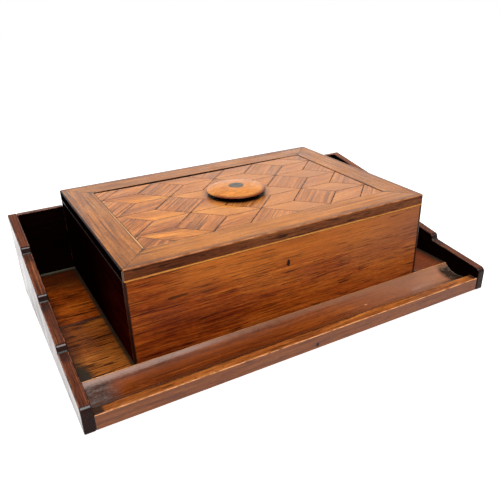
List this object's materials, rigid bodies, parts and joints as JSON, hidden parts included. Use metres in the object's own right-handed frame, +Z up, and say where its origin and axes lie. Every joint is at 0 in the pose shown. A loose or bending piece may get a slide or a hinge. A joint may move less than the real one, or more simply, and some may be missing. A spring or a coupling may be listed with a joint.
{
  "type": "inkwell box",
  "caption": "Desk inkwell box: a tray with stepped end galleries and a pen trough, and a box with a lift-off parquetry lid over two ink bottles.",
  "frame": {"origin": "on the surface it stands on, under the middle of the tray's outline", "axes": "+X along the tray to the right, +Y from the front, where the pen trough is, to the back, +Z up"},
  "size_m": [0.35, 0.216, 0.0925],
  "materials": {
    "gallery_wood": "dark red-brown hardwood, French polished",
    "floor_wood": "golden-brown hardwood, polished, worn",
    "trough_wood": "red-brown hardwood, polished",
    "rail_wood": "brown hardwood, polished",
    "box_wood": "streaked red-brown hardwood, French polished",
    "lid_wood": "tan-brown hardwood, French polished",
    "dark_tile": "brown diagonal-grained tiles, polished",
    "tan_tile": "tan tiles, polished",
    "orange_tile": "orange-tan tiles, polished",
    "boxwood": "golden boxwood edging",
    "inner_wood": "plain brown hardwood, satin",
    "knob_wood": "light orange-brown turned hardwood, glossy",
    "plug_horn": "dark grey horn",
    "baize": "green baize",
    "bottle_glass": "clear pressed glass",
    "brass": "aged polished brass",
    "steel": "plain steel"
  },
  "bodies": {
    "base": {"baize_underlay": "baize", "front_floor_board": "floor_wood", "rear_floor_board": "floor_wood", "pen_trough": "trough_wood", "front_rail": "rail_wood", "left_gallery": "gallery_wood", "right_gallery": "gallery_wood", "left_back_wing": "gallery_wood", "right_back_wing": "gallery_wood", "box_front": "box_wood", "box_back": "box_wood", "box_left_side": "box_wood", "box_right_side": "box_wood", "edging_front": "boxwood", "edging_back": "boxwood", "edging_left": "boxwood", "edging_right": "boxwood", "long_divider": "inner_wood", "left_well_divider": "inner_wood", "right_well_divider": "inner_wood", "left_bottle": "bottle_glass", "right_bottle": "bottle_glass", "left_collar": "brass", "right_collar": "brass", "left_hinge_pin": "brass", "right_hinge_pin": "brass"},
    "lid": {"lid_frame_front": "lid_wood", "lid_frame_back": "lid_wood", "lid_frame_left": "lid_wood", "lid_frame_right": "lid_wood", "lid_lip_front": "inner_wood", "lid_lip_back": "inner_wood", "lid_lip_left": "inner_wood", "lid_lip_right": "inner_wood", "lid_ground": "inner_wood", "parquetry_squares": "dark_tile", "parquetry_back_rhombs": "tan_tile", "parquetry_front_rhombs": "orange_tile", "knob": "knob_wood", "knob_screw": "steel", "knob_plug": "plug_horn"},
    "left_cap": {"left_cap": "brass"},
    "right_cap": {"right_cap": "brass"}
  },
  "joints": [
    {"name": "lid_lift", "type": "slide", "parent": "base", "child": "lid", "axis": [0, 0, 1], "range_m": [0, 0.06]},
    {"name": "left_cap_hinge", "type": "hinge", "parent": "base", "child": "left_cap", "pos_m": [-0.095, 0.0875, 0.0405], "axis": [-1, 0, 0], "range_deg": [0, 100]},
    {"name": "right_cap_hinge", "type": "hinge", "parent": "base", "child": "right_cap", "pos_m": [0.095, 0.0875, 0.0405], "axis": [-1, 0, 0], "range_deg": [0, 100]}
  ]
}
